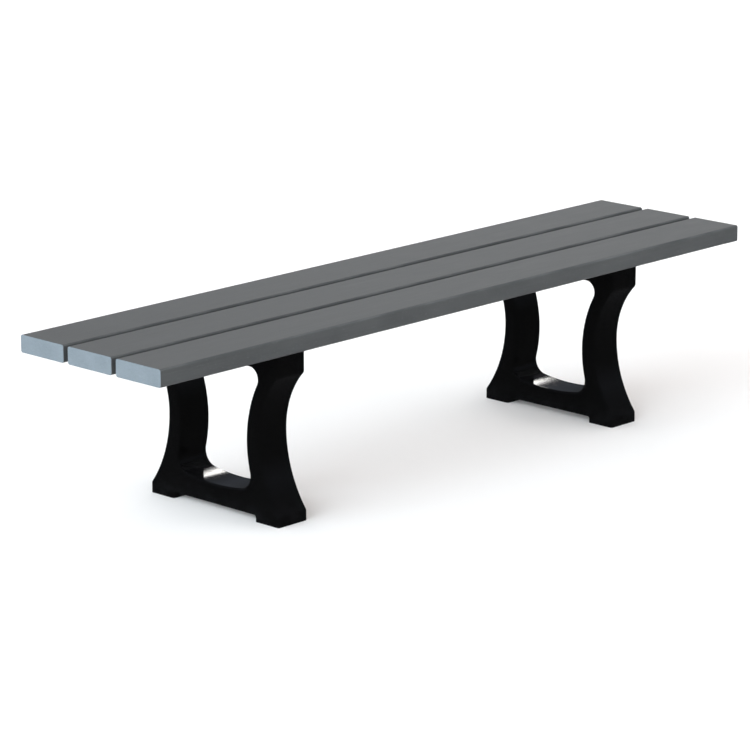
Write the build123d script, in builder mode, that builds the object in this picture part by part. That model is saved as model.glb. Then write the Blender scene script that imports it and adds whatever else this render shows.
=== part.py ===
from build123d import *
import math
import os

# A backless park bench: three plastic-lumber planks on two moulded end frames.
# Millimetres. The origin is on the floor under the middle of the seat, +X runs
# along the planks, +Y points to the rear plank and +Z points up.

# Seat planks
bench_length = 1829
plank_width = 130
plank_thickness = 38
plank_gap = 13
plank_edge_radius = 5
plank_end_chamfer = 1
seat_height = 405

# End frames. A setback is measured inwards from the front or rear edge of the seat.
frame_width = 84
frame_inset = 382
crossbar_thickness = 38
crossbar_web = 22
pad_setback = 20.5
pad_height = 50
foot_setback = 16
foot_length = 70
toe_height = 23.5
waist_setback = 73
waist_height = 188
waist_thickness = 37.5
belly_height = 170
belly_radius = 261
stretcher_lift = 13
stretcher_middle_height = 56.5
stretcher_dish_radius = 480
outer_corner_radius = 10
upper_corner_radius = 24
lower_corner_radius = 32
foot_step_radius = 4
arris_radius = 5

# Cleat that ties the planks together at mid-span
cleat_width = 90
cleat_thickness = 25
cleat_setback = 75
cleat_chamfer = 3

# Hexagon-head lag screws, driven upwards through washers
screw_diameter = 8
screw_root_diameter = 5.8
screw_length = 50
screw_plain_length = 20
screw_tip_length = 5
thread_pitch = 3
head_across_flats = 13
head_height = 5.5
head_bevel_inset = 0.5
head_bevel_angle = 30
washer_diameter = 20
washer_thickness = 1.6

# Screw places and clearances
screw_edge_distance = 14
screw_side_distance = 20
middle_screw_spacing = 76
washer_clearance = 0.4
shank_clearance = 0.5
thread_clearance = 0.1
pilot_tip_clearance = 1.5
recess_clearance = 2

# Sizes that follow from the ones above
seat_depth = 3 * plank_width + 2 * plank_gap
plank_pitch = plank_width + plank_gap
underside_height = seat_height - plank_thickness
frame_centre = bench_length / 2 - frame_inset
opening_top = underside_height - crossbar_thickness
outer_screw_offset = plank_pitch - plank_width / 2 + screw_edge_distance
screw_radius = screw_diameter / 2
recess_radius = washer_diameter / 2 + recess_clearance

sides = (("left", -frame_centre), ("right", frame_centre))
rows = (("front", -1), ("middle", 0), ("rear", 1))


def finish(builder, name):
    """Label a finished piece and write it to its own file."""
    builder.part.label = name
    export_step(builder.part, f"parts/{name}.step")


def screw_places(row, centre, support_width):
    """Give the two places where one support is screwed to one plank."""
    if row == 0:
        half = middle_screw_spacing / 2
        return [(centre, -half), (centre, half)]
    offset = support_width / 2 - screw_side_distance
    return [(centre - offset, row * outer_screw_offset), (centre + offset, row * outer_screw_offset)]


def all_screw_places(centre, support_width):
    """Give all six places where one support is screwed to the planks."""
    return [place for _, row in rows for place in screw_places(row, centre, support_width)]


def pilot_depth(clamped_thickness):
    """Give the depth of a plank's pilot hole over a support that the screw clamps."""
    return screw_length - washer_thickness - clamped_thickness + pilot_tip_clearance


def station(setback, height):
    """Place a profile point by its setback from the front edge of the seat."""
    return (setback - seat_depth / 2, height)


os.makedirs("parts", exist_ok=True)

# Planks: one extruded board each, with blind pilot holes in its underside
for row_name, row in rows:
    with BuildPart() as plank:
        with BuildSketch(Plane.YZ):
            with Locations((row * plank_pitch, seat_height - plank_thickness / 2)):
                RectangleRounded(plank_width, plank_thickness, plank_edge_radius)
        extrude(amount=bench_length / 2, both=True)
        chamfer(plank.faces().filter_by(Axis.X).edges(), plank_end_chamfer)
        with BuildSketch(Plane.XY.offset(underside_height)):
            for _, centre in sides:
                with Locations(*screw_places(row, centre, frame_width)):
                    Circle(screw_radius + thread_clearance)
        extrude(amount=pilot_depth(crossbar_web), mode=Mode.SUBTRACT)
        with BuildSketch(Plane.XY.offset(underside_height)):
            with Locations(*screw_places(row, 0, cleat_width)):
                Circle(screw_radius + thread_clearance)
        extrude(amount=pilot_depth(cleat_thickness), mode=Mode.SUBTRACT)
    finish(plank, f"seat_plank_{row_name}")

# End frames: a closed profile with splayed feet and top pads, cut through by the
# opening between the legs, then eased along every long edge
waist = station(waist_setback, waist_height)
pad_bottom = station(pad_setback, underside_height - pad_height)
toe_top = station(foot_setback, toe_height)
heel = station(foot_setback + foot_length, 0)
belly_centre_offset = seat_depth / 2 - waist_setback - waist_thickness + belly_radius

for side_name, centre in sides:
    with BuildPart() as end_frame:
        with BuildSketch(Plane.YZ.offset(centre)) as profile:
            with BuildLine():
                Polyline((0, underside_height), station(pad_setback, underside_height), pad_bottom)
                TangentArc(waist, pad_bottom, tangent=(0, 1))
                TangentArc(waist, toe_top, tangent=(0, -1))
                Polyline(toe_top, station(foot_setback, 0), heel)
                Polyline(heel, (heel[0], stretcher_lift), (0, stretcher_lift))
                mirror(about=Plane.YZ)
            make_face()
            levels = profile.vertices().group_by(Axis.Y)
            foot_steps, toes, pads = levels[1], levels[2], levels[-2]
            fillet(foot_steps, foot_step_radius)
            fillet(toes + pads, outer_corner_radius)
        extrude(amount=frame_width / 2, both=True)

        with BuildSketch(Plane.YZ.offset(centre)) as opening:
            with Locations((0, stretcher_middle_height + stretcher_dish_radius)):
                Circle(stretcher_dish_radius)
            with Locations((0, opening_top)):
                Rectangle(
                    seat_depth,
                    opening_top,
                    align=(Align.CENTER, Align.MAX),
                    mode=Mode.INTERSECT,
                )
            with Locations((-belly_centre_offset, belly_height), (belly_centre_offset, belly_height)):
                Circle(belly_radius, mode=Mode.SUBTRACT)
            fillet(opening.vertices().group_by(Axis.Y)[0], lower_corner_radius)
            fillet(opening.vertices().group_by(Axis.Y)[-1], upper_corner_radius)
        extrude(amount=frame_width, both=True, mode=Mode.SUBTRACT)

        side_edges = end_frame.faces().filter_by(Axis.X).edges()
        flat_ends = side_edges.group_by(Axis.Z)[0] + side_edges.group_by(Axis.Z)[-1]
        fillet([edge for edge in side_edges if edge not in flat_ends], arris_radius)

        screw_points = all_screw_places(centre, frame_width)
        with BuildSketch(Plane.XY.offset(underside_height)):
            with Locations(*screw_points):
                Circle(screw_radius + shank_clearance)
        extrude(amount=-crossbar_thickness, mode=Mode.SUBTRACT)
        with BuildSketch(Plane.XY.offset(underside_height - crossbar_web)):
            with Locations(*screw_points):
                Circle(recess_radius)
        extrude(amount=crossbar_web - crossbar_thickness - upper_corner_radius, mode=Mode.SUBTRACT)
    finish(end_frame, f"end_frame_{side_name}")

# Cleat: a flat board under the middle of the seat, set back so that it stays out of sight
with BuildPart() as seat_cleat:
    with BuildSketch(Plane.XY.offset(underside_height)):
        Rectangle(cleat_width, seat_depth - 2 * cleat_setback)
    extrude(amount=-cleat_thickness)
    chamfer(seat_cleat.faces().sort_by(Axis.Z)[0].edges(), cleat_chamfer)
    with BuildSketch(Plane.XY.offset(underside_height)):
        with Locations(*all_screw_places(0, cleat_width)):
            Circle(screw_radius + shank_clearance)
    extrude(amount=-cleat_thickness, mode=Mode.SUBTRACT)
finish(seat_cleat, "seat_cleat")

# One lag screw, with its head's bearing face at height zero and its tip upwards
head_radius = head_across_flats / 2 / math.cos(math.radians(30))
bevel_radius = head_across_flats / 2 - head_bevel_inset
bevel_rise = (head_radius - bevel_radius) * math.tan(math.radians(head_bevel_angle))
thread_turns = int((screw_length - screw_plain_length - screw_tip_length) // thread_pitch)
root_radius = screw_root_diameter / 2
thread_line = [(screw_radius, 0), (screw_radius, screw_plain_length)]
for turn in range(thread_turns):
    valley_height = screw_plain_length + turn * thread_pitch
    thread_line.append((root_radius, valley_height + thread_pitch / 4))
    thread_line.append((screw_radius, valley_height + thread_pitch))
thread_line.append((root_radius, screw_length - screw_tip_length))

with BuildPart() as lag_screw:
    with BuildSketch():
        RegularPolygon(head_radius, 6)
    extrude(amount=-head_height)
    with BuildSketch(Plane.XZ):
        with BuildLine():
            Polyline(
                (0, 0),
                (head_radius, 0),
                (head_radius, bevel_rise - head_height),
                (bevel_radius, -head_height),
                (0, -head_height),
                close=True,
            )
        make_face()
    revolve(axis=Axis.Z, mode=Mode.INTERSECT)
    with BuildSketch(Plane.XZ):
        with BuildLine():
            Polyline((0, 0), *thread_line, (0, screw_length), close=True)
        make_face()
    revolve(axis=Axis.Z)

# One washer, lying on height zero
with BuildPart() as washer:
    with BuildSketch():
        Circle(washer_diameter / 2)
        Circle(screw_radius + washer_clearance, mode=Mode.SUBTRACT)
    extrude(amount=washer_thickness)


def fasten(screws_name, washers_name, places, bearing_height):
    """Put a washer and a screw at each place, tight against a bearing face."""
    washer_height = bearing_height - washer_thickness
    with BuildPart() as screws:
        with Locations(*[(x, y, washer_height) for x, y in places]):
            add(lag_screw.part)
    finish(screws, screws_name)
    with BuildPart() as washers:
        with Locations(*[(x, y, washer_height) for x, y in places]):
            add(washer.part)
    finish(washers, washers_name)


for side_name, centre in sides:
    for row_name, row in rows:
        joint_name = f"{side_name}_{row_name}"
        joint_places = screw_places(row, centre, frame_width)
        web_bottom = underside_height - crossbar_web
        fasten(f"lag_screws_{joint_name}", f"washers_{joint_name}", joint_places, web_bottom)

cleat_places = all_screw_places(0, cleat_width)
fasten("lag_screws_cleat", "washers_cleat", cleat_places, underside_height - cleat_thickness)
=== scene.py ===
import bmesh
import bpy
import math
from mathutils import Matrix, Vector


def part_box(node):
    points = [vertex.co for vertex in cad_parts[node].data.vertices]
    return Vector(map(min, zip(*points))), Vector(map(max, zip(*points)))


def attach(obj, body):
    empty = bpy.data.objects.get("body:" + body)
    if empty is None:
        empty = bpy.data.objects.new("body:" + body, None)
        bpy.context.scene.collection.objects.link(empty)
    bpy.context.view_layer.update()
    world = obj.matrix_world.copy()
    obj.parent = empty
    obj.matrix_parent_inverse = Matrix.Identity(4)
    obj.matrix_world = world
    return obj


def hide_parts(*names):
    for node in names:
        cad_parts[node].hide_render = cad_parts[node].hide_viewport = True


# A backless bench: three plastic planks screwed down on two moulded end frames.
# Metres. The origin is on the floor under the middle of the seat, X runs along the
# planks, Y points to the rear plank and Z points up.

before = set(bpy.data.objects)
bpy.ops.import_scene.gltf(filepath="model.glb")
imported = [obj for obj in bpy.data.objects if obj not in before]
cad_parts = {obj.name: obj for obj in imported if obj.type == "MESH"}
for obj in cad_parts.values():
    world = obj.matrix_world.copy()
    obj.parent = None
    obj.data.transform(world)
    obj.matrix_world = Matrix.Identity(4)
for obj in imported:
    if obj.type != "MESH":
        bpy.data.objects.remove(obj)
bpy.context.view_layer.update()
bpy.ops.object.select_all(action="DESELECT")
print("frame loaded,", len(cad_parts), "nodes")

tiny = 0.00001
overcut = 0.001  # how far a cutter reaches past the face that it cuts
rows = {"front": -1, "middle": 0, "rear": 1}
sides = ("left", "right")


# Picking, in edit mode: an edge by its two ends, a face by its middle and normal

def pickEdges(piece, test):
    bpy.ops.mesh.select_mode(type="EDGE")
    bpy.ops.mesh.select_all(action="DESELECT")
    shape = bmesh.from_edit_mesh(piece.data)
    for edge in shape.edges:
        if test(edge.verts[0].co, edge.verts[1].co):
            edge.select_set(True)
    bmesh.update_edit_mesh(piece.data)


def pickFaces(piece, test):
    bpy.ops.mesh.select_mode(type="FACE")
    bpy.ops.mesh.select_all(action="DESELECT")
    shape = bmesh.from_edit_mesh(piece.data)
    for face in shape.faces:
        if test(face.calc_center_median(), face.normal):
            face.select_set(True)
    bmesh.update_edit_mesh(piece.data)


def editMode():
    bpy.ops.object.mode_set(mode="EDIT")


def objectMode():
    bpy.ops.object.mode_set(mode="OBJECT")


def choose(*pieces):
    bpy.ops.object.select_all(action="DESELECT")
    for piece in pieces:
        piece.select_set(True)
    bpy.context.view_layer.objects.active = pieces[0]


def settle(piece):  # leaves the place in the mesh and the object at the origin
    choose(piece)
    bpy.ops.object.transform_apply(location=True, rotation=True, scale=True)


def closeUp(piece):  # welds the seams and turns every face outwards
    choose(piece)
    editMode()
    bpy.ops.mesh.select_all(action="SELECT")
    bpy.ops.mesh.remove_doubles(threshold=tiny)
    bpy.ops.mesh.normals_make_consistent(inside=False)
    objectMode()


def addModifier(piece, kind, settings):
    choose(piece)
    bpy.ops.object.modifier_add(type=kind)
    added = piece.modifiers[-1]
    for name, value in settings.items():
        setattr(added, name, value)
    bpy.ops.object.modifier_apply(modifier=added.name)


def carve(piece, cutter, operation="DIFFERENCE"):
    addModifier(piece, "BOOLEAN", {"operation": operation, "solver": "EXACT", "object": cutter})
    bpy.data.objects.remove(cutter)


def smooth(piece, angle=32):  # an edge that turns by more than this many degrees stays sharp
    choose(piece)
    bpy.ops.object.shade_smooth_by_angle(angle=math.radians(angle))
    addModifier(piece, "WEIGHTED_NORMAL", {"keep_sharp": True, "weight": 60})


def copyTo(piece, place):
    choose(piece)
    bpy.ops.object.duplicate(linked=False)
    copy = bpy.context.object
    copy.location = place
    settle(copy)
    return copy


def joinUp(pieces, name):
    choose(*pieces)
    if len(pieces) > 1:
        bpy.ops.object.join()
    joined = bpy.context.object
    joined.name = name
    joined.data.name = name
    return joined


def handOver(piece, node, material):
    piece.data.materials.clear()
    piece.data.materials.append(material)
    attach(piece, "root")
    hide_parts(node)


def pegs(places, radius, bottom, top, sides):  # upright cylinders for cutting holes
    made = []
    for x, y in places:
        bpy.ops.mesh.primitive_cylinder_add(
            vertices=sides,
            radius=radius,
            depth=top - bottom,
            location=(x, y, (top + bottom) / 2),
        )
        made.append(bpy.context.object)
    peg = joinUp(made, "peg")
    settle(peg)
    return peg


class Pen:  # draws an outline in the plane of one x, point by point; an arc's step is in degrees
    def __init__(self, x, y, z):
        self.x, self.y, self.z = x, y, z
        bpy.ops.mesh.primitive_plane_add(size=0.001, location=(x, y, z))
        self.piece = bpy.context.object
        editMode()  # merges the small plane into the outline's first point
        bpy.ops.mesh.select_mode(type="VERT")
        bpy.ops.mesh.select_all(action="SELECT")
        bpy.ops.mesh.merge(type="CENTER")

    def line(self, y, z):
        run = (0, y - self.y, z - self.z)
        bpy.ops.mesh.extrude_vertices_move(TRANSFORM_OT_translate={"value": run})
        self.y, self.z = y, z

    def arc(self, centre, y, z, step):
        start = math.atan2(self.z - centre[1], self.y - centre[0])
        turn = math.atan2(z - centre[1], y - centre[0]) - start
        turn = (turn + math.pi) % (2 * math.pi) - math.pi
        bpy.ops.mesh.spin(
            steps=max(2, round(abs(math.degrees(turn)) / step)),
            angle=-turn,
            center=(self.x, *centre),
            axis=(1, 0, 0),
        )
        self.y, self.z = y, z

    def close(self):
        bpy.ops.mesh.select_all(action="SELECT")
        bpy.ops.mesh.remove_doubles(threshold=tiny)
        bpy.ops.mesh.edge_face_add()


def towards(start, end, reach):  # the point at a distance from start, in the direction of end
    run = Vector(end) - Vector(start)
    return tuple(Vector(start) + run.normalized() * reach)


# Camera

cameraSettings = {
    "place": (-5.6005, -5.252, 2.2),
    "turn": -46.4,
    "elevation": 14.72,
    "lens": 173.81,
    "sensorWidth": 36,
    "reach": 200,
}


def setCamera(settings):
    bpy.ops.object.camera_add(location=settings["place"])
    cam = bpy.context.object
    tilt = math.radians(90 - settings["elevation"])
    cam.rotation_euler = (tilt, 0, math.radians(settings["turn"]))
    cam.data.lens = settings["lens"]
    cam.data.sensor_width = settings["sensorWidth"]
    cam.data.clip_end = settings["reach"]
    bpy.context.scene.camera = cam


setCamera(cameraSettings)


# Shader maths: a Wire is one socket, and a Paint is one material

class Wire:
    def __init__(self, paint, socket):
        self.paint = paint
        self.socket = socket

    def __add__(self, other):
        return self.paint.maths("ADD", self, other)

    def __sub__(self, other):
        return self.paint.maths("SUBTRACT", self, other)

    def __rsub__(self, other):
        return self.paint.maths("SUBTRACT", other, self)

    def __mul__(self, other):
        return self.paint.maths("MULTIPLY", self, other)

    def __truediv__(self, other):
        return self.paint.maths("DIVIDE", self, other)

    __radd__ = __add__
    __rmul__ = __mul__


class Paint:
    def __init__(self, name, **constants):
        self.material = bpy.data.materials.new(name)
        self.material.use_nodes = True
        self.tree = self.material.node_tree
        self.shader = self.tree.nodes["Principled BSDF"]
        self.place = self.node("ShaderNodeTexCoord", {}, {}, "Object")
        for socket, value in constants.items():
            self.shader.inputs[socket.replace("_", " ")].default_value = value

    def node(self, kind, settings, inputs, output=0):
        made = self.tree.nodes.new(kind)
        for name, value in settings.items():
            setattr(made, name, value)
        for name, value in inputs.items():
            self.feed(made.inputs[name], value)
        return Wire(self, made.outputs[output])

    def feed(self, socket, value):
        if isinstance(value, Wire):
            self.tree.links.new(value.socket, socket)
        else:
            socket.default_value = value

    def maths(self, operation, a, b=0.0):
        return self.node("ShaderNodeMath", {"operation": operation}, {0: a, 1: b})

    def part(self, vector, axis):  # one of a vector's three numbers
        return self.node("ShaderNodeSeparateXYZ", {}, {"Vector": vector}, axis)

    def stretch(self, scale, turn=(0, 0, 0)):
        inputs = {"Vector": self.place, "Scale": scale, "Rotation": turn}
        return self.node("ShaderNodeMapping", {}, inputs)

    def noise(self, where, scale, detail, roughness):
        inputs = {"Vector": where, "Scale": scale, "Detail": detail, "Roughness": roughness}
        return self.node("ShaderNodeTexNoise", {}, inputs)

    def fade(self, value, low, high):  # rises smoothly from 0 at low to 1 at high
        inputs = {"Value": value, "From Min": low, "From Max": high}
        return self.node("ShaderNodeMapRange", {"interpolation_type": "SMOOTHSTEP"}, inputs)

    def blend(self, factor, a, b):
        first, second = [(*colour, 1) if isinstance(colour, tuple) else colour for colour in (a, b)]
        inputs = {0: factor, 6: first, 7: second}  # a Mix node's colours are its sockets 6 and 7
        return self.node("ShaderNodeMix", {"data_type": "RGBA"}, inputs, 2)

    def bump(self, height, distance, strength):
        inputs = {"Height": height, "Distance": distance, "Strength": strength}
        return self.node("ShaderNodeBump", {}, inputs)

    def finish(self, colour, roughness, normal):
        self.feed(self.shader.inputs["Base Color"], colour)
        self.feed(self.shader.inputs["Roughness"], roughness)
        self.feed(self.shader.inputs["Normal"], normal)
        return self.material


# Seat planks: sawn lengths of grey plastic board with rounded long edges

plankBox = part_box("seat_plank_middle")
underside = plankBox[0].z
plankSettings = {
    "edgeRadius": 0.005,
    "edgeSteps": 6,
    "endRadius": 0.001,
    "endSteps": 3,
    "ringSpacing": 0.018,
    "widthCuts": 11,
    "sideCuts": 3,
    "waveDepth": 0.0003,
    "waveLength": 0.06,
    "waveStretch": 5,
    "calmEnd": 0.03,
    "pilotRadius": 0.0041,
    "pilotSides": 24,
    "pilotDepth": 0.0279,
    "cleatPilotDepth": 0.0249,
    "darkGrey": (0.0475, 0.052, 0.055),
    "lightGrey": (0.075, 0.081, 0.084),
    "wornGrey": (0.118, 0.126, 0.130),
    # cut-end colours: the sawn core's own paler colour plus painted cool light from the side, so lighter and
    # bluer than the board
    "cutDarkPlusPaintedLight": (0.127, 0.158, 0.182),
    "cutPalePlusPaintedLight": (0.186, 0.223, 0.252),
    "drawnScale": (5, 230, 230),
    "mottleScale": (9, 22, 22),
    "fineScale": 760,
    "fleckScale": (180, 420, 420),
    "strokeScale": (40, 150, 380),
    "strokeTurn": (0.35, 0, 0),
    "poreScale": 640,
    "wearStart": 0.0042,
    "wearFull": 0.0012,
    "cutStart": 0.0011,
    "cutFull": 0.0004,
    "coreAcross": (0.035, 0.058),
    "coreUpright": (0.007, 0.0155),
    "roughness": 0.54,
    "grainDepth": 0.00028,
    "grainStrength": 0.7,
}
screwSettings = {
    "frameSideOffset": 0.022,
    "cleatSideOffset": 0.025,
    "rowOffset": 0.092,
    "middleOffset": 0.038,
    "webThickness": 0.022,
    "cleatThickness": 0.025,
    "washerThickness": 0.0016,
    "acrossFlats": 0.013,
    "headHeight": 0.0055,
    "headFace": 0.006,
    "headBevel": 30,
    "headSteps": 72,
    "shankRadius": 0.004,
    "rootRadius": 0.0029,
    "length": 0.05,
    "plainLength": 0.02,
    "tipLength": 0.005,
    "pitch": 0.003,
    "turns": 8,
    "threadSteps": 36,
    "washerRadius": 0.01,
    "washerHole": 0.0044,
    "washerEdge": 0.0003,
    "washerSteps": 72,
    "sharpAngle": 20,
}


def middleX(node):
    low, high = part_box(node)
    return (low.x + high.x) / 2


frameCentre = {side: middleX(f"end_frame_{side}") for side in sides}


def screwPlaces(centre, row, sideOffset):
    if row == 0:
        across = screwSettings["middleOffset"]
        return [(centre, -across), (centre, across)]
    along = row * screwSettings["rowOffset"]
    return [(centre - sideOffset, along), (centre + sideOffset, along)]


def allScrewPlaces(centre, sideOffset):
    return [place for row in rows.values() for place in screwPlaces(centre, row, sideOffset)]


def makePlank(name, node, row, material, settings):
    low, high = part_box(node)
    bpy.ops.mesh.primitive_cube_add(size=1, location=(low + high) / 2, scale=high - low)
    plank = bpy.context.object
    settle(plank)
    half = high.x
    wide = settings["edgeRadius"] * 4  # longer than any edge that rounds a corner
    editMode()
    pickEdges(plank, lambda a, b: abs(a.x - b.x) > half)
    bpy.ops.mesh.bevel(offset=settings["edgeRadius"], segments=settings["edgeSteps"], affect="EDGES")
    pickEdges(plank, lambda a, b: abs(a.x - b.x) < tiny)
    bpy.ops.mesh.bevel(offset=settings["endRadius"], segments=settings["endSteps"], affect="EDGES")
    pickEdges(plank, lambda a, b: abs(a.x - b.x) > half)
    bpy.ops.mesh.subdivide(number_cuts=round(2 * half / settings["ringSpacing"]))
    pickEdges(plank, lambda a, b: abs(a.y - b.y) > wide)
    bpy.ops.mesh.subdivide(number_cuts=settings["widthCuts"])
    pickEdges(plank, lambda a, b: abs(a.z - b.z) > wide)
    bpy.ops.mesh.subdivide(number_cuts=settings["sideCuts"])
    pickEdges(plank, lambda a, b: max(abs(a.x), abs(b.x)) < half - settings["calmEnd"])
    bpy.ops.object.vertex_group_add()
    bpy.ops.object.vertex_group_assign()
    # faint waves, which only sink the surface; squeezed first and stretched back, so they run lengthwise
    bpy.ops.mesh.select_all(action="SELECT")
    bpy.ops.transform.resize(value=(1 / settings["waveStretch"], 1, 1), center_override=(0, 0, 0))
    objectMode()
    waves = bpy.data.textures.new(name + "Waves", type="CLOUDS")
    waves.noise_scale = settings["waveLength"]
    displace = {
        "texture": waves,
        "texture_coords": "LOCAL",
        "strength": settings["waveDepth"],
        "mid_level": 1.0,
        "vertex_group": plank.vertex_groups[0].name,
    }
    addModifier(plank, "DISPLACE", displace)
    editMode()
    bpy.ops.mesh.select_all(action="SELECT")
    bpy.ops.transform.resize(value=(settings["waveStretch"], 1, 1), center_override=(0, 0, 0))
    objectMode()
    plank.vertex_groups.clear()
    offset = screwSettings["frameSideOffset"]
    framePlaces = [place for centre in frameCentre.values() for place in screwPlaces(centre, row, offset)]
    cleatPlaces = screwPlaces(0, row, screwSettings["cleatSideOffset"])
    below = underside - settings["edgeRadius"]
    radius, pegSides = settings["pilotRadius"], settings["pilotSides"]
    pilots = ((framePlaces, settings["pilotDepth"]), (cleatPlaces, settings["cleatPilotDepth"]))
    for places, depth in pilots:
        carve(plank, pegs(places, radius, below, underside + depth, pegSides))
    smooth(plank)
    plank.name = name
    handOver(plank, node, material)


def plankPlastic(settings):
    paint = Paint("plankPlastic", IOR=1.46, Specular_IOR_Level=0.37, Sheen_Weight=0.05, Sheen_Roughness=0.5)
    x, y, z = (paint.part(paint.place, axis) for axis in (0, 1, 2))
    low, high = plankBox
    halfWidth, halfThickness = (high.y - low.y) / 2, (high.z - low.z) / 2
    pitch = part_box("seat_plank_rear")[0].y - low.y
    across = paint.maths("ABSOLUTE", y - paint.maths("ROUND", y / pitch) * pitch)  # from the board's middle
    upright = paint.maths("ABSOLUTE", z - (low.z + high.z) / 2)
    drawn = paint.noise(paint.stretch(settings["drawnScale"]), 1.0, 4.0, 0.62)  # long drawn grain
    mottle = paint.noise(paint.stretch(settings["mottleScale"]), 1.0, 4.0, 0.55)
    fine = paint.noise(paint.place, settings["fineScale"], 2.0, 0.6)
    flecks = paint.fade(paint.noise(paint.stretch(settings["fleckScale"]), 1.0, 1.0, 0.4), 0.66, 0.74)
    tone = 0.5 + (drawn - 0.5) * 0.75 + (mottle - 0.5) * 1.15 + (fine - 0.5) * 0.35
    board = paint.blend(tone, settings["darkGrey"], settings["lightGrey"])
    board = paint.blend(flecks * 0.35, board, settings["wornGrey"])
    start, full = settings["wearStart"], settings["wearFull"]  # distances in from the board's faces
    nearSide = paint.fade(across, halfWidth - start, halfWidth - full)
    nearTop = paint.fade(upright, halfThickness - start, halfThickness - full)
    rubbed = nearSide * nearTop * paint.fade(mottle + (fine - 0.5) * 0.5, 0.38, 0.68)
    board = paint.blend(rubbed * 0.75, board, settings["wornGrey"])
    along = paint.maths("ABSOLUTE", x)
    sawn = paint.fade(along, high.x - settings["cutStart"], high.x - settings["cutFull"])  # 1 on the cut ends
    strokes = paint.noise(paint.stretch(settings["strokeScale"], settings["strokeTurn"]), 1.0, 4.0, 0.65)
    pores = paint.fade(paint.noise(paint.place, settings["poreScale"], 1.0, 0.4), 0.63, 0.72)
    core = 1 - paint.fade(across, *settings["coreAcross"])  # 1 in the porous middle of a cut end
    core = core * (1 - paint.fade(upright, *settings["coreUpright"]))
    cutTone = 0.5 + (strokes - 0.5) * 1.0 + (mottle - 0.5) * 0.9 + (fine - 0.5) * 0.5 - pores * core * 0.45
    # the cut ends carry painted light: lighter and bluish for cool light from the side, on top of the sawn
    # core's own paler colour
    cutWithPaintedLight = paint.blend(cutTone, settings["cutDarkPlusPaintedLight"], settings["cutPalePlusPaintedLight"])
    colour = paint.blend(sawn, board, cutWithPaintedLight)
    roughness = settings["roughness"] + (mottle - 0.5) * 0.22 + (drawn - 0.5) * 0.18
    roughness = roughness + sawn * 0.16 - rubbed * 0.06
    boardHeight = (drawn * 0.62 + fine * 0.30) * (1 - sawn)
    height = boardHeight + (strokes * 0.9 - pores * core * 1.3) * sawn
    bump = paint.bump(height, settings["grainDepth"], settings["grainStrength"])
    return paint.finish(colour, roughness, bump)


plankMaterial = plankPlastic(plankSettings)
for rowName, row in rows.items():
    makePlank(f"seatPlank{rowName.title()}", f"seat_plank_{rowName}", row, plankMaterial, plankSettings)
print("planks made")


# End frames: half an outline drawn with arcs, pulled out to its width, eased and mirrored

frameSettings = {
    "padSetback": 0.0205,
    "padHeight": 0.050,
    "footSetback": 0.016,
    "footLength": 0.070,
    "toeHeight": 0.0235,
    "waistSetback": 0.073,
    "waistHeight": 0.188,
    "waistThickness": 0.0375,
    "bellyHeight": 0.170,
    "bellyRadius": 0.261,
    "stretcherLift": 0.013,
    "stretcherMiddle": 0.0565,
    "dishRadius": 0.480,
    "crossbarThickness": 0.038,
    "outerRadius": 0.010,
    "upperRadius": 0.024,
    "lowerRadius": 0.032,
    "stepRadius": 0.004,
    "arris": 0.005,
    "arrisSteps": 5,
    "outerStep": 9,  # each step is the turn of one edge of an arc, in degrees
    "legStep": 2,
    "footStep": 15,
    "dishStep": 1,
    "lowerStep": 5,
    "upperStep": 7,
    "recessRadius": 0.012,
    "recessSides": 48,
    "holeRadius": 0.0045,
    "holeSides": 32,
    "black": (0.0017, 0.0017, 0.0018),
    "rubbedBlack": (0.0040, 0.0040, 0.0042),
    "dust": (0.030, 0.032, 0.036),
    "flowScale": (14, 14, 4),
    "patchScale": 38,
    "skinScale": 1500,
    "scuffScale": (90, 90, 500),
    "scuffTurn": (0.4, 0.2, 0),
    "splashFull": 0.004,
    "splashTop": 0.055,
    "roughness": 0.085,
    "skinDepth": 0.00008,
    "skinStrength": 0.3,
}
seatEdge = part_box("seat_plank_front")[0].y  # the front edge of the seat, from which setbacks are measured


def meet(centreA, reachA, centreB, reachB):
    # of the two points that lie reachA from one centre and reachB from the other, the lower one
    a, b = Vector(centreA), Vector(centreB)
    run = b - a
    along = (reachA**2 - reachB**2 + run.length**2) / (2 * run.length)
    off = math.sqrt(reachA**2 - along**2)
    foot = a + run.normalized() * along
    side = Vector((-run.y, run.x)).normalized() * off
    return min((foot + side, foot - side), key=lambda point: point.y)


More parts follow.
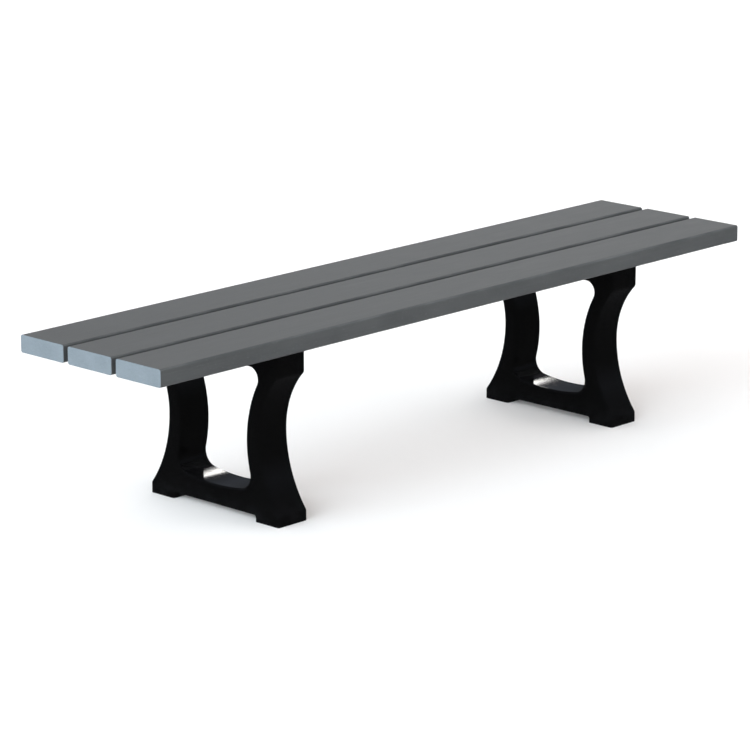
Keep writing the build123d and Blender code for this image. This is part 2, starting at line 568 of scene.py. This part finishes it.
def drawHalfFrame(x, settings):
    pad = seatEdge + settings["padSetback"]
    toe = seatEdge + settings["footSetback"]
    heel = toe + settings["footLength"]
    waist = seatEdge + settings["waistSetback"]
    waistHeight, padBottom = settings["waistHeight"], underside - settings["padHeight"]
    upperRise, upperRun = padBottom - waistHeight, waist - pad
    upper = (upperRun**2 + upperRise**2) / (2 * upperRun)
    lowerRise, lowerRun = waistHeight - settings["toeHeight"], waist - toe
    lower = (lowerRun**2 + lowerRise**2) / (2 * lowerRun)
    upperCentre, lowerCentre = (waist - upper, waistHeight), (waist - lower, waistHeight)
    outer, step = settings["outerRadius"], settings["stepRadius"]
    padY, toeY = pad + outer, toe + outer
    padMiddle = (padY, waistHeight + math.sqrt((upper + outer) ** 2 - (padY - upperCentre[0]) ** 2))
    toeMiddle = (toeY, waistHeight - math.sqrt((lower + outer) ** 2 - (toeY - lowerCentre[0]) ** 2))
    belly = settings["bellyRadius"]
    bellyCentre = (waist + settings["waistThickness"] - belly, settings["bellyHeight"])
    dish, middle = settings["dishRadius"], settings["stretcherMiddle"]
    dishCentre = (0, middle + dish)
    small = settings["lowerRadius"]
    lowMiddle = tuple(meet(dishCentre, dish - small, bellyCentre, belly + small))
    top, lift = underside - settings["crossbarThickness"], settings["stretcherLift"]
    corner = settings["upperRadius"]
    highZ = top - corner
    reach = math.sqrt((belly + corner) ** 2 - (highZ - bellyCentre[1]) ** 2)
    highMiddle = (bellyCentre[0] + reach, highZ)

    pen = Pen(x, 0, underside)
    pen.line(pad, underside)
    pen.line(pad, padMiddle[1])
    pen.arc(padMiddle, *towards(padMiddle, upperCentre, outer), settings["outerStep"])
    pen.arc(upperCentre, waist, waistHeight, settings["legStep"])
    pen.arc(lowerCentre, *towards(lowerCentre, toeMiddle, lower), settings["legStep"])
    pen.arc(toeMiddle, toe, toeMiddle[1], settings["outerStep"])
    pen.line(toe, 0)
    pen.line(heel, 0)
    pen.line(heel, lift - step)
    pen.arc((heel + step, lift - step), heel + step, lift, settings["footStep"])
    pen.line(0, lift)
    pen.line(0, middle)
    pen.arc(dishCentre, *towards(dishCentre, lowMiddle, dish), settings["dishStep"])
    pen.arc(lowMiddle, *towards(lowMiddle, bellyCentre, small), settings["lowerStep"])
    pen.arc(bellyCentre, *towards(bellyCentre, highMiddle, belly), settings["legStep"])
    pen.arc(highMiddle, highMiddle[0], top, settings["upperStep"])
    pen.line(0, top)
    pen.line(0, underside)
    pen.close()
    return pen.piece


def makeFrame(name, node, material, settings):
    low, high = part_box(node)
    made = drawHalfFrame(low.x, settings)
    bpy.ops.mesh.extrude_region_move(TRANSFORM_OT_translate={"value": (high.x - low.x, 0, 0)})
    objectMode()
    settle(made)
    closeUp(made)
    editMode()
    pickFaces(made, lambda middle, normal: abs(middle.y) < tiny)
    bpy.ops.mesh.delete(type="FACE")

    def eased(a, b):  # the long edges, apart from those of the soles and of the top
        flat = abs(a.z - b.z) < tiny and (abs(a.z) < tiny or abs(a.z - underside) < tiny)
        seam = abs(a.y) < tiny and abs(b.y) < tiny
        return abs(a.x - b.x) < tiny and not flat and not seam

    pickEdges(made, eased)
    bpy.ops.mesh.bevel(offset=settings["arris"], segments=settings["arrisSteps"], affect="EDGES")
    objectMode()
    mirror = {"use_axis": (False, True, False), "use_clip": True, "merge_threshold": tiny}
    addModifier(made, "MIRROR", mirror)
    closeUp(made)
    places = allScrewPlaces(middleX(node), screwSettings["frameSideOffset"])
    web = underside - screwSettings["webThickness"]
    below = underside - settings["crossbarThickness"] - settings["upperRadius"]
    carve(made, pegs(places, settings["recessRadius"], below, web, settings["recessSides"]))
    bottom, top = web - overcut, underside + overcut
    carve(made, pegs(places, settings["holeRadius"], bottom, top, settings["holeSides"]))
    smooth(made)
    made.name = name
    handOver(made, node, material)


def framePlastic(settings):
    paint = Paint("framePlastic", IOR=1.5, Specular_IOR_Level=0.3)
    z = paint.part(paint.place, 2)
    facing = paint.part(paint.node("ShaderNodeTexCoord", {}, {}, "Normal"), 2)
    flow = paint.noise(paint.stretch(settings["flowScale"]), 1.0, 4.0, 0.55)
    patches = paint.noise(paint.place, settings["patchScale"], 5.0, 0.6)
    skin = paint.noise(paint.place, settings["skinScale"], 2.0, 0.55)
    scratches = paint.noise(paint.stretch(settings["scuffScale"], settings["scuffTurn"]), 1.0, 3.0, 0.6)
    scuffs = paint.fade(scratches, 0.60, 0.72)
    low = 1 - paint.fade(z, settings["splashFull"], settings["splashTop"])
    settled = paint.fade(facing, 0.35, 0.95) * (0.55 + (patches - 0.5) * 0.7)  # dust that lies on top
    splash = low * paint.fade(patches, 0.36, 0.74) * 0.12
    rubbed = paint.blend(scuffs * (0.25 + low * 0.5), settings["black"], settings["rubbedBlack"])
    colour = paint.blend(settled * 0.2 + splash, rubbed, settings["dust"])
    roughness = settings["roughness"] + (flow - 0.5) * 0.04 + (patches - 0.5) * 0.03
    roughness = roughness + scuffs * 0.08 + splash * 0.2
    bump = paint.bump(skin * 0.6 + patches * 0.4, settings["skinDepth"], settings["skinStrength"])
    return paint.finish(colour, roughness, bump)


frameMaterial = framePlastic(frameSettings)
for side in sides:
    makeFrame(f"endFrame{side.title()}", f"end_frame_{side}", frameMaterial, frameSettings)
print("end frames made")


# Cleat: a thin black board across the middle of the underside

cleatSettings = {
    "chamfer": 0.003,
    "cornerEase": 0.0006,
    "easeSteps": 3,
    "holeRadius": 0.0045,
    "holeSides": 32,
    "black": (0.020, 0.020, 0.022),
    "grey": (0.045, 0.045, 0.048),
    "drawnScale": (240, 7, 240),
    "mottleScale": 26,
    "fineScale": 800,
    "roughness": 0.55,
    "grainDepth": 0.00025,
    "grainStrength": 0.7,
}


def makeCleat(material, settings):
    low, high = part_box("seat_cleat")
    bpy.ops.mesh.primitive_cube_add(size=1, location=(low + high) / 2, scale=high - low)
    cleat = bpy.context.object
    settle(cleat)
    editMode()
    pickEdges(cleat, lambda a, b: max(a.z, b.z) < low.z + tiny)
    bpy.ops.mesh.bevel(offset=settings["chamfer"], segments=1, affect="EDGES")
    pickEdges(cleat, lambda a, b: abs(a.z - b.z) > settings["chamfer"] * 2)
    bpy.ops.mesh.bevel(offset=settings["cornerEase"], segments=settings["easeSteps"], affect="EDGES")
    objectMode()
    places = allScrewPlaces(0, screwSettings["cleatSideOffset"])
    bottom, top = low.z - overcut, high.z + overcut
    carve(cleat, pegs(places, settings["holeRadius"], bottom, top, settings["holeSides"]))
    smooth(cleat)
    cleat.name = "seatCleat"
    handOver(cleat, "seat_cleat", material)


def cleatPlastic(settings):
    paint = Paint("cleatPlastic", IOR=1.46)
    drawn = paint.noise(paint.stretch(settings["drawnScale"]), 1.0, 4.0, 0.6)
    mottle = paint.noise(paint.place, settings["mottleScale"], 4.0, 0.55)
    fine = paint.noise(paint.place, settings["fineScale"], 2.0, 0.6)
    tone = 0.5 + (drawn - 0.5) * 0.9 + (mottle - 0.5) * 1.2 + (fine - 0.5) * 0.3
    colour = paint.blend(tone, settings["black"], settings["grey"])
    roughness = settings["roughness"] + (mottle - 0.5) * 0.25
    bump = paint.bump(drawn * 0.7 + fine * 0.3, settings["grainDepth"], settings["grainStrength"])
    return paint.finish(colour, roughness, bump)


makeCleat(cleatPlastic(cleatSettings), cleatSettings)
print("cleat made")


# Lag screws and washers: one of each is modelled standing on height zero, then copied

def lathe(points, steps):  # turns an outline in the plane of x = 0 about the upright axis
    pen = Pen(0, *points[0])
    for point in points[1:]:
        pen.line(*point)
    pen.close()
    bpy.ops.mesh.delete(type="ONLY_FACE")
    bpy.ops.mesh.select_all(action="SELECT")
    bpy.ops.mesh.spin(steps=steps, angle=2 * math.pi, center=(0, 0, 0), axis=(0, 0, 1))
    objectMode()
    settle(pen.piece)
    closeUp(pen.piece)
    return pen.piece


def makeScrew(settings):
    height = settings["headHeight"]
    halfSide = math.pi / 6  # half the angle between two corners of a hexagon
    bpy.ops.mesh.primitive_cylinder_add(
        vertices=6,
        radius=settings["acrossFlats"] / 2 / math.cos(halfSide),
        depth=height,
        location=(0, 0, -height / 2),
        rotation=(0, 0, halfSide),
    )
    head = bpy.context.object
    settle(head)
    bpy.ops.mesh.primitive_cone_add(
        vertices=settings["headSteps"],
        radius1=settings["headFace"],
        radius2=settings["headFace"] + height / math.tan(math.radians(settings["headBevel"])),
        depth=height,
        location=(0, 0, -height / 2),
    )
    cone = bpy.context.object
    settle(cone)
    carve(head, cone, "INTERSECT")
    root, crest, pitch = settings["rootRadius"], settings["shankRadius"], settings["pitch"]
    points = [(0, -height / 2), (crest, -height / 2), (crest, settings["plainLength"])]
    for turn in range(settings["turns"]):
        valley = settings["plainLength"] + turn * pitch
        points.append((root, valley + pitch / 4))
        points.append((crest, valley + pitch))
    points.append((root, settings["length"] - settings["tipLength"]))
    points.append((0, settings["length"]))
    carve(head, lathe(points, settings["threadSteps"]), "UNION")
    smooth(head, settings["sharpAngle"])
    return head


def makeWasher(settings):
    hole, rim, thick = settings["washerHole"], settings["washerRadius"], settings["washerThickness"]
    edge = settings["washerEdge"]
    bottom = [(hole, 0), (rim - edge, 0), (rim, edge)]
    top = [(rim, thick - edge), (rim - edge, thick), (hole, thick)]
    washer = lathe(bottom + top, settings["washerSteps"])
    smooth(washer, settings["sharpAngle"])
    return washer


steelSettings = {
    "metallic": 0.75,
    "cloudScale": 220,
    "turnedScale": (2600, 400, 2600),
    "fineScale": 3200,
    "markDepth": 0.00003,
    "markStrength": 0.5,
    "screw": {"dark": (0.42, 0.42, 0.43), "light": (0.60, 0.60, 0.61), "roughness": 0.30},
    "washer": {"dark": (0.47, 0.47, 0.47), "light": (0.66, 0.66, 0.65), "roughness": 0.36},
}


def makeSteel(kind, settings):
    paint = Paint(f"{kind}Steel", Metallic=settings["metallic"])
    own = settings[kind]
    cloud = paint.noise(paint.place, settings["cloudScale"], 4.0, 0.6)
    turned = paint.noise(paint.stretch(settings["turnedScale"]), 1.0, 2.0, 0.5)
    fine = paint.noise(paint.place, settings["fineScale"], 2.0, 0.5)
    tone = 0.5 + (cloud - 0.5) * 1.2 + (turned - 0.5) * 0.6
    colour = paint.blend(tone, own["dark"], own["light"])
    roughness = own["roughness"] + (cloud - 0.5) * 0.2 + (turned - 0.5) * 0.15
    bump = paint.bump(turned * 0.6 + fine * 0.4, settings["markDepth"], settings["markStrength"])
    return paint.finish(colour, roughness, bump)


screwSteel = makeSteel("screw", steelSettings)
washerSteel = makeSteel("washer", steelSettings)
screw = makeScrew(screwSettings)
washer = makeWasher(screwSettings)


def fasten(label, node, places, thickness):  # thickness of what the screws clamp to the planks
    height = underside - thickness - screwSettings["washerThickness"]
    screws = joinUp([copyTo(screw, (x, y, height)) for x, y in places], f"lagScrews{label}")
    handOver(screws, f"lag_screws_{node}", screwSteel)
    washers = joinUp([copyTo(washer, (x, y, height)) for x, y in places], f"washers{label}")
    handOver(washers, f"washers_{node}", washerSteel)


for side in sides:
    for rowName, row in rows.items():
        places = screwPlaces(frameCentre[side], row, screwSettings["frameSideOffset"])
        fasten(side.title() + rowName.title(), f"{side}_{rowName}", places, screwSettings["webThickness"])
places = allScrewPlaces(0, screwSettings["cleatSideOffset"])
fasten("Cleat", "cleat", places, screwSettings["cleatThickness"])
bpy.data.objects.remove(screw)
bpy.data.objects.remove(washer)
print("screws and washers made")


# Studio: a pale floor under a dim dome, and a broad cool light from the left, a soft one
# overhead and a ring of low ones, none of which shows in the gloss. A small light behind
# shows only there.

studioSettings = {
    "floorSize": 80,
    "floorColour": (0.97, 0.97, 0.97),
    "backdropColour": (1.0, 1.0, 1.0),
    "groundColour": (0.045, 0.047, 0.050),
    "skyColour": (0.128, 0.142, 0.168),
    "skyHeight": 0.25,
    "skyTopColour": (0.050, 0.053, 0.058),
    "skyTopHeight": 0.50,
}
lampSettings = {  # azimuth is the way that the light travels, 0 along +Y and 90 along +X
    "leftLight": {
        "azimuth": 92,
        "elevation": 24,
        "strength": 2.8,
        "angle": 62,
        "colour": (0.78, 0.92, 1.0),
        "hiddenFrom": "visible_glossy",
        "copies": 1,
    },
    "overheadLight": {
        "azimuth": 0,
        "elevation": 86,
        "strength": 0.55,
        "angle": 90,
        "colour": (1.0, 0.97, 0.94),
        "hiddenFrom": "visible_glossy",
        "copies": 1,
    },
    "rearLight": {
        "azimuth": 229.75,
        "elevation": 24.3,
        "strength": 0.105,
        "angle": 5.9,
        "colour": (1.0, 0.98, 0.95),
        "hiddenFrom": "visible_diffuse",
        "copies": 1,
    },
    "ringLight": {
        "azimuth": 0,
        "elevation": 17,
        "strength": 1.0,
        "angle": 45,
        "colour": (1.0, 0.95, 0.925),
        "hiddenFrom": "visible_glossy",
        "copies": 8,
    },
}


def makeFloor(settings):
    bpy.ops.mesh.primitive_plane_add(size=settings["floorSize"])
    floor = bpy.context.object
    floor.name = "floor"
    floor.visible_glossy = False
    colour = (*settings["floorColour"], 1)
    paint = Paint("floorPaper", Base_Color=colour, Roughness=1.0, Specular_IOR_Level=0.0)
    clear = paint.node("ShaderNodeBsdfTransparent", {}, {})
    below = paint.node("ShaderNodeNewGeometry", {}, {}, "Backfacing")  # the floor is clear from below
    face = Wire(paint, paint.shader.outputs[0])
    both = paint.node("ShaderNodeMixShader", {}, {0: below, 1: face, 2: clear})
    paint.feed(paint.tree.nodes["Material Output"].inputs["Surface"], both)
    floor.data.materials.append(paint.material)


def makeDome(settings):  # seen as a plain white backdrop, but nearly black in the gloss
    world = bpy.data.worlds.new("studio")
    bpy.context.scene.world = world
    world.use_nodes = True
    nodes, links = world.node_tree.nodes, world.node_tree.links
    direction = nodes.new("ShaderNodeTexCoord")
    parts = nodes.new("ShaderNodeSeparateXYZ")
    links.new(direction.outputs["Generated"], parts.inputs["Vector"])
    ramp = nodes.new("ShaderNodeValToRGB")
    links.new(parts.outputs["Z"], ramp.inputs["Fac"])
    stops = ramp.color_ramp.elements
    stops[0].color = (*settings["groundColour"], 1)
    stops[1].position = settings["skyTopHeight"]
    stops[1].color = (*settings["skyTopColour"], 1)
    stops.new(settings["skyHeight"]).color = (*settings["skyColour"], 1)
    dome = nodes["Background"]
    links.new(ramp.outputs["Color"], dome.inputs["Color"])
    backdrop = nodes.new("ShaderNodeBackground")
    backdrop.inputs["Color"].default_value = (*settings["backdropColour"], 1)
    path = nodes.new("ShaderNodeLightPath")
    both = nodes.new("ShaderNodeMixShader")
    links.new(path.outputs["Is Camera Ray"], both.inputs[0])
    links.new(dome.outputs[0], both.inputs[1])
    links.new(backdrop.outputs[0], both.inputs[2])
    links.new(both.outputs[0], nodes["World Output"].inputs["Surface"])


def makeLamp(name, settings, turn):
    bpy.ops.object.light_add(type="SUN")
    lamp = bpy.context.object
    lamp.name = name
    lean = math.radians(90 - settings["elevation"])
    lamp.rotation_euler = (lean, 0, -math.radians(settings["azimuth"] + turn))
    lamp.data.energy = settings["strength"]
    lamp.data.angle = math.radians(settings["angle"])
    lamp.data.color = settings["colour"]
    setattr(lamp, settings["hiddenFrom"], False)


makeFloor(studioSettings)
makeDome(studioSettings)
for name, settings in lampSettings.items():
    for number in range(settings["copies"]):
        makeLamp(f"{name}{number}", settings, 360 / settings["copies"] * number)
bpy.context.scene.view_settings.view_transform = "Standard"
print("studio ready")
